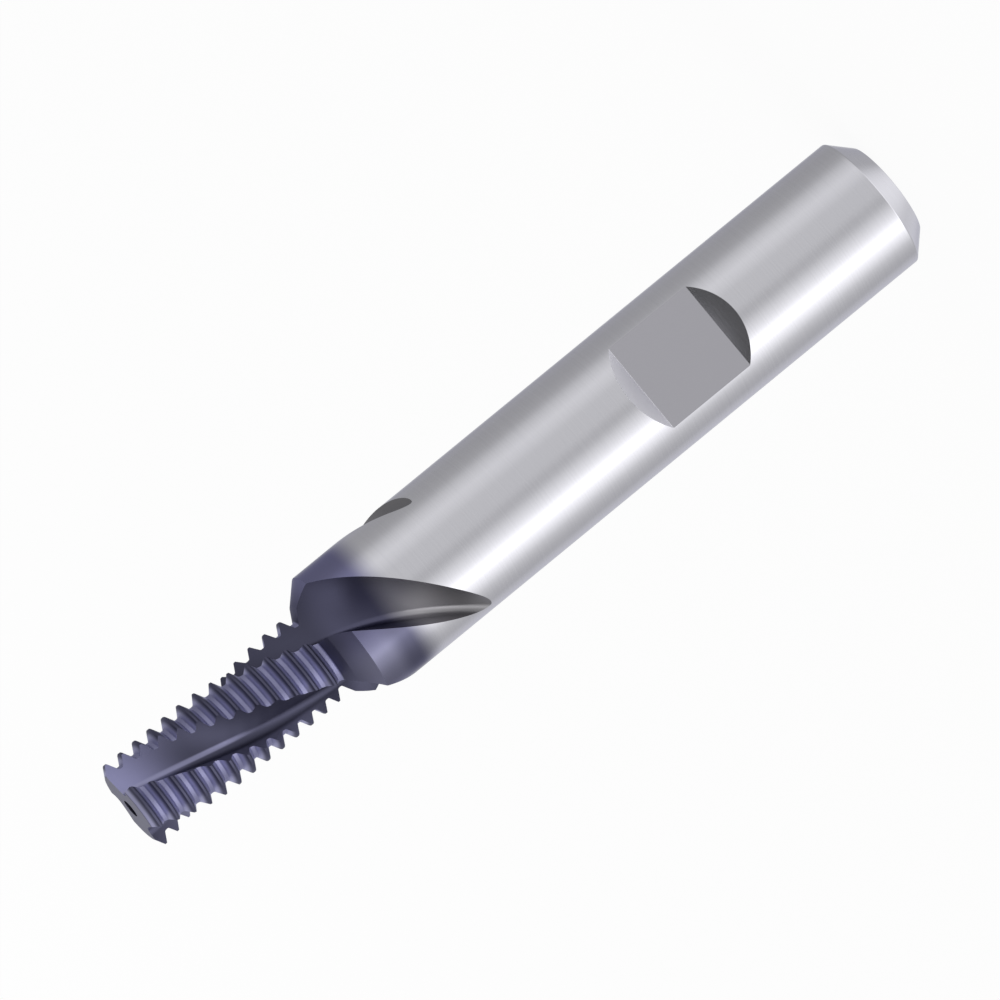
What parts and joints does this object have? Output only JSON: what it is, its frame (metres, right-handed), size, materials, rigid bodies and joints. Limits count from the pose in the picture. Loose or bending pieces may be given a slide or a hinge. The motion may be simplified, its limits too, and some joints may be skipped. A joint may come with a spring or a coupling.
{
  "type": "thread mill",
  "caption": "Solid thread mill with ringed thread teeth, helical flutes and a countersink cone on a round shank with a clamping flat and a coolant bore.",
  "frame": {"origin": "middle of the shank's end face, on which the tool stands", "axes": "+Z along the tool's axis to the tip, and the clamping flat faces -Y"},
  "size_m": [0.012, 0.012, 0.079],
  "materials": {
    "carbide": "fine ground, with a dark violet grey coating on the cutting head"
  },
  "bodies": {
    "root": {"thread_mill": "carbide"}
  },
  "joints": []
}
